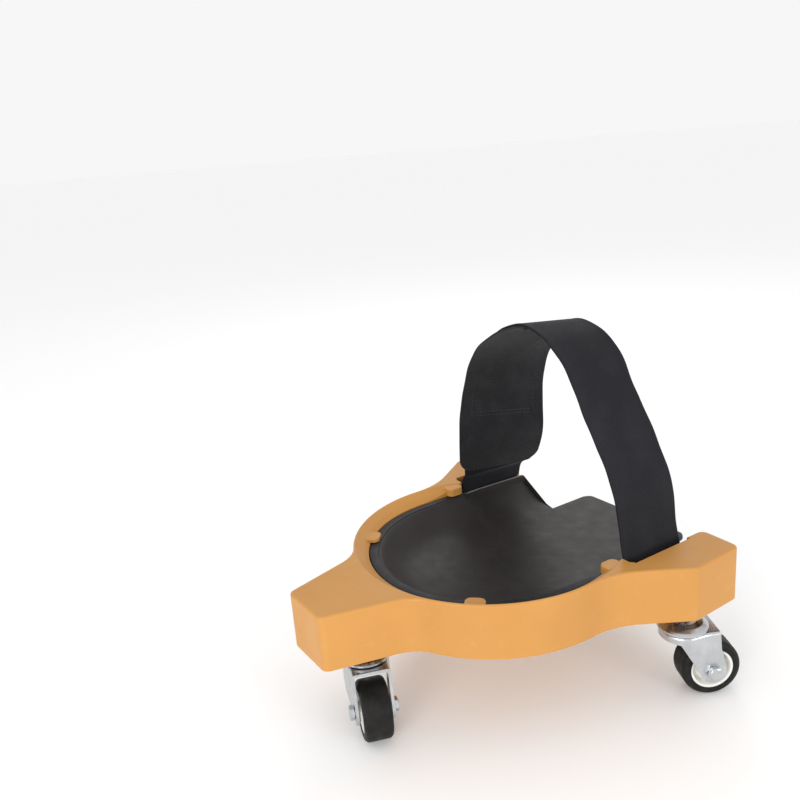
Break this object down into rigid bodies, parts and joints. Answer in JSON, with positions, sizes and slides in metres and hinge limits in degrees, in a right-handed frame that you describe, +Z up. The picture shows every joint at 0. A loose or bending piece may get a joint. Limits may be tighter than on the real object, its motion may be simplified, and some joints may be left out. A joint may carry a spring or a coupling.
{
  "type": "rolling knee pad",
  "caption": "Low three-armed rolling platform with a moulded knee bowl, an open shin channel, a calf strap and swivel casters with black tyres.",
  "frame": {"origin": "on the floor, under the centre of the platform's ring, which is also the middle of the part's width and length", "axes": "+Z up; +Y to the rear, along the shin; +X to the user's right"},
  "size_m": [0.2504, 0.2784, 0.2295],
  "materials": {
    "orange_plastic": "satin moulded polypropylene, fine texture",
    "pad_foam": "satin moulded foam rubber",
    "strap_fabric": "dark woven webbing with brushed loop face",
    "hook_fabric": "matt hook-and-loop cloth",
    "zinc_steel": "bright zinc plate",
    "dark_steel": "dark blued",
    "bearing_steel": "polished and greased",
    "brass_insert": "turned",
    "white_nylon": "natural white nylon, semi-gloss",
    "black_rubber": "smooth black rubber tread"
  },
  "bodies": {
    "root": {"platform": "orange_plastic", "knee_pad": "pad_foam", "strap_webbing": "strap_fabric", "strap_hook_panel": "hook_fabric", "front_insert": "brass_insert", "front_stem": "zinc_steel", "front_washer": "zinc_steel", "front_jam_nut": "dark_steel", "front_top_cup": "zinc_steel", "front_upper_balls": "bearing_steel", "front_lower_balls": "bearing_steel", "right_insert": "brass_insert", "right_stem": "zinc_steel", "right_washer": "zinc_steel", "right_jam_nut": "dark_steel", "right_top_cup": "zinc_steel", "right_upper_balls": "bearing_steel", "right_lower_balls": "bearing_steel", "left_insert": "brass_insert", "left_stem": "zinc_steel", "left_washer": "zinc_steel", "left_jam_nut": "dark_steel", "left_top_cup": "zinc_steel", "left_upper_balls": "bearing_steel", "left_lower_balls": "bearing_steel"},
    "front_fork_body": {"front_fork": "zinc_steel", "front_axle_bolt": "zinc_steel", "front_axle_nut": "zinc_steel", "front_axle_bush": "zinc_steel"},
    "front_wheel": {"front_hub": "white_nylon", "front_tyre": "black_rubber"},
    "right_fork_body": {"right_fork": "zinc_steel", "right_axle_bolt": "zinc_steel", "right_axle_nut": "zinc_steel", "right_axle_bush": "zinc_steel"},
    "right_wheel": {"right_hub": "white_nylon", "right_tyre": "black_rubber"},
    "left_fork_body": {"left_fork": "zinc_steel", "left_axle_bolt": "zinc_steel", "left_axle_nut": "zinc_steel", "left_axle_bush": "zinc_steel"},
    "left_wheel": {"left_hub": "white_nylon", "left_tyre": "black_rubber"}
  },
  "joints": [
    {"name": "front_swivel", "type": "hinge", "parent": "root", "child": "front_fork_body", "pos_m": [0, -0.102, 0.047], "axis": [0, 0, 1], "continuous": true},
    {"name": "front_wheel_spin", "type": "hinge", "parent": "front_fork_body", "child": "front_wheel", "pos_m": [0.01522, -0.10754, 0.01875], "axis": [0.342, 0.9397, 0], "continuous": true},
    {"name": "right_swivel", "type": "hinge", "parent": "root", "child": "right_fork_body", "pos_m": [0.102, 0.069, 0.047], "axis": [0, 0, 1], "continuous": true},
    {"name": "right_wheel_spin", "type": "hinge", "parent": "right_fork_body", "child": "right_wheel", "pos_m": [0.10961, 0.0833, 0.01875], "axis": [-0.8829, 0.4695, 0], "continuous": true},
    {"name": "left_swivel", "type": "hinge", "parent": "root", "child": "left_fork_body", "pos_m": [-0.102, 0.069, 0.047], "axis": [0, 0, 1], "continuous": true},
    {"name": "left_wheel_spin", "type": "hinge", "parent": "left_fork_body", "child": "left_wheel", "pos_m": [-0.10961, 0.0833, 0.01875], "axis": [-0.8829, -0.4695, 0], "continuous": true}
  ]
}
